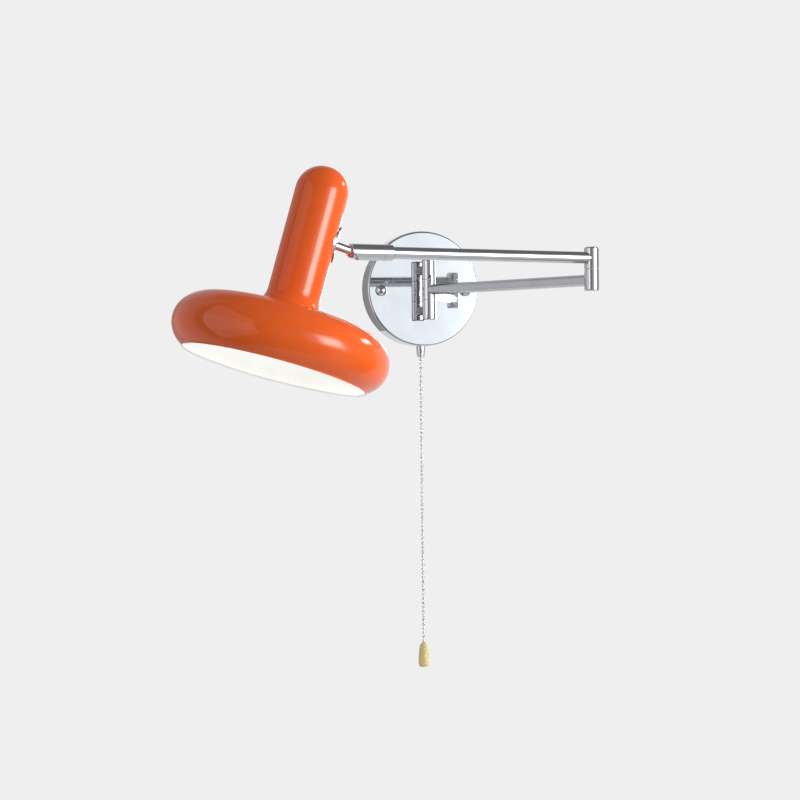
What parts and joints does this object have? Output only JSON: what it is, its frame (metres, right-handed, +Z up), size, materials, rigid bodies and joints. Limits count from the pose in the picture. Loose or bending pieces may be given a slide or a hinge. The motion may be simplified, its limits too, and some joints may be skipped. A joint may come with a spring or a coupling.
{
  "type": "swing arm wall lamp",
  "caption": "Wall lamp with a round plate, two swinging arms, a ball swivel, a domed wide-rimmed enamel shade and a pull chain switch.",
  "frame": {"origin": "centre of the wall plate's back, on the wall", "axes": "+X right along the wall, +Y into the wall, +Z up"},
  "size_m": [0.4132, 0.3901, 0.4908],
  "materials": {
    "chrome": "polished",
    "zinc_steel": "satin",
    "orange_enamel": "gloss",
    "brass": "satin",
    "white_plastic": "matte",
    "dark_plastic": "matte",
    "nylon": "matte",
    "diffuser": "frosted",
    "cream_plastic": "gloss"
  },
  "bodies": {
    "wall_mount": {"wall_plate": "chrome", "wall_bracket": "zinc_steel", "bracket_studs": "zinc_steel", "cap_nuts": "chrome", "terminal_block": "white_plastic", "terminal_screws": "zinc_steel", "pull_switch": "dark_plastic", "switch_bush": "brass", "chain_nozzle": "chrome", "knuckle_upper_barrel": "chrome", "knuckle_lower_barrel": "chrome", "knuckle_nuts": "zinc_steel", "knuckle_pivot": "zinc_steel", "knuckle_caps": "chrome", "knuckle_washers": "nylon"},
    "pull": {"switch_plunger": "dark_plastic", "pull_chain": "zinc_steel", "pull_knob": "cream_plastic"},
    "lower_arm": {"knuckle_middle_barrel": "chrome", "lower_arm_tube": "chrome", "elbow_lower_barrel": "chrome", "elbow_pivot": "zinc_steel", "elbow_bottom_cap": "chrome", "elbow_washer": "nylon"},
    "upper_arm": {"elbow_upper_barrel": "chrome", "elbow_top_cap": "chrome", "upper_arm_tube": "chrome", "arm_collar": "zinc_steel"},
    "socket": {"lock_ring": "chrome", "socket_sleeve": "chrome", "ball_seat": "brass"},
    "head": {"swivel_ball": "chrome", "saddle_plate": "chrome", "shade": "orange_enamel", "holder_bracket": "zinc_steel", "stud_nut": "zinc_steel", "lamp_holder": "dark_plastic", "holder_nipple": "zinc_steel", "nipple_nut": "zinc_steel", "bulb_globe": "diffuser", "bulb_base": "white_plastic", "bulb_cap": "brass"}
  },
  "joints": [
    {"name": "wall_swing", "type": "hinge", "parent": "wall_mount", "child": "lower_arm", "pos_m": [0, -0.043, -0.002], "axis": [0, 0, -1], "range_deg": [-60, 115]},
    {"name": "elbow_swing", "type": "hinge", "parent": "lower_arm", "child": "upper_arm", "pos_m": [0.10141, -0.23372, 0.019], "axis": [0, 0, -1], "range_deg": [-225, 13]},
    {"name": "socket_roll", "type": "hinge", "parent": "upper_arm", "child": "socket", "pos_m": [-0.144, -0.28142, 0.019], "axis": [-0.9816, -0.1908, 0], "range_deg": [-120, 120]},
    {"name": "shade_tilt", "type": "hinge", "parent": "socket", "child": "head", "pos_m": [-0.144, -0.28142, 0.019], "axis": [0.1908, -0.9816, 0], "range_deg": [-12, 58]},
    {"name": "chain_pull", "type": "slide", "parent": "wall_mount", "child": "pull", "axis": [0, 0, -1], "range_m": [0, 0.008], "stiffness_N_per_m": 600, "springref_m": -0.002}
  ]
}
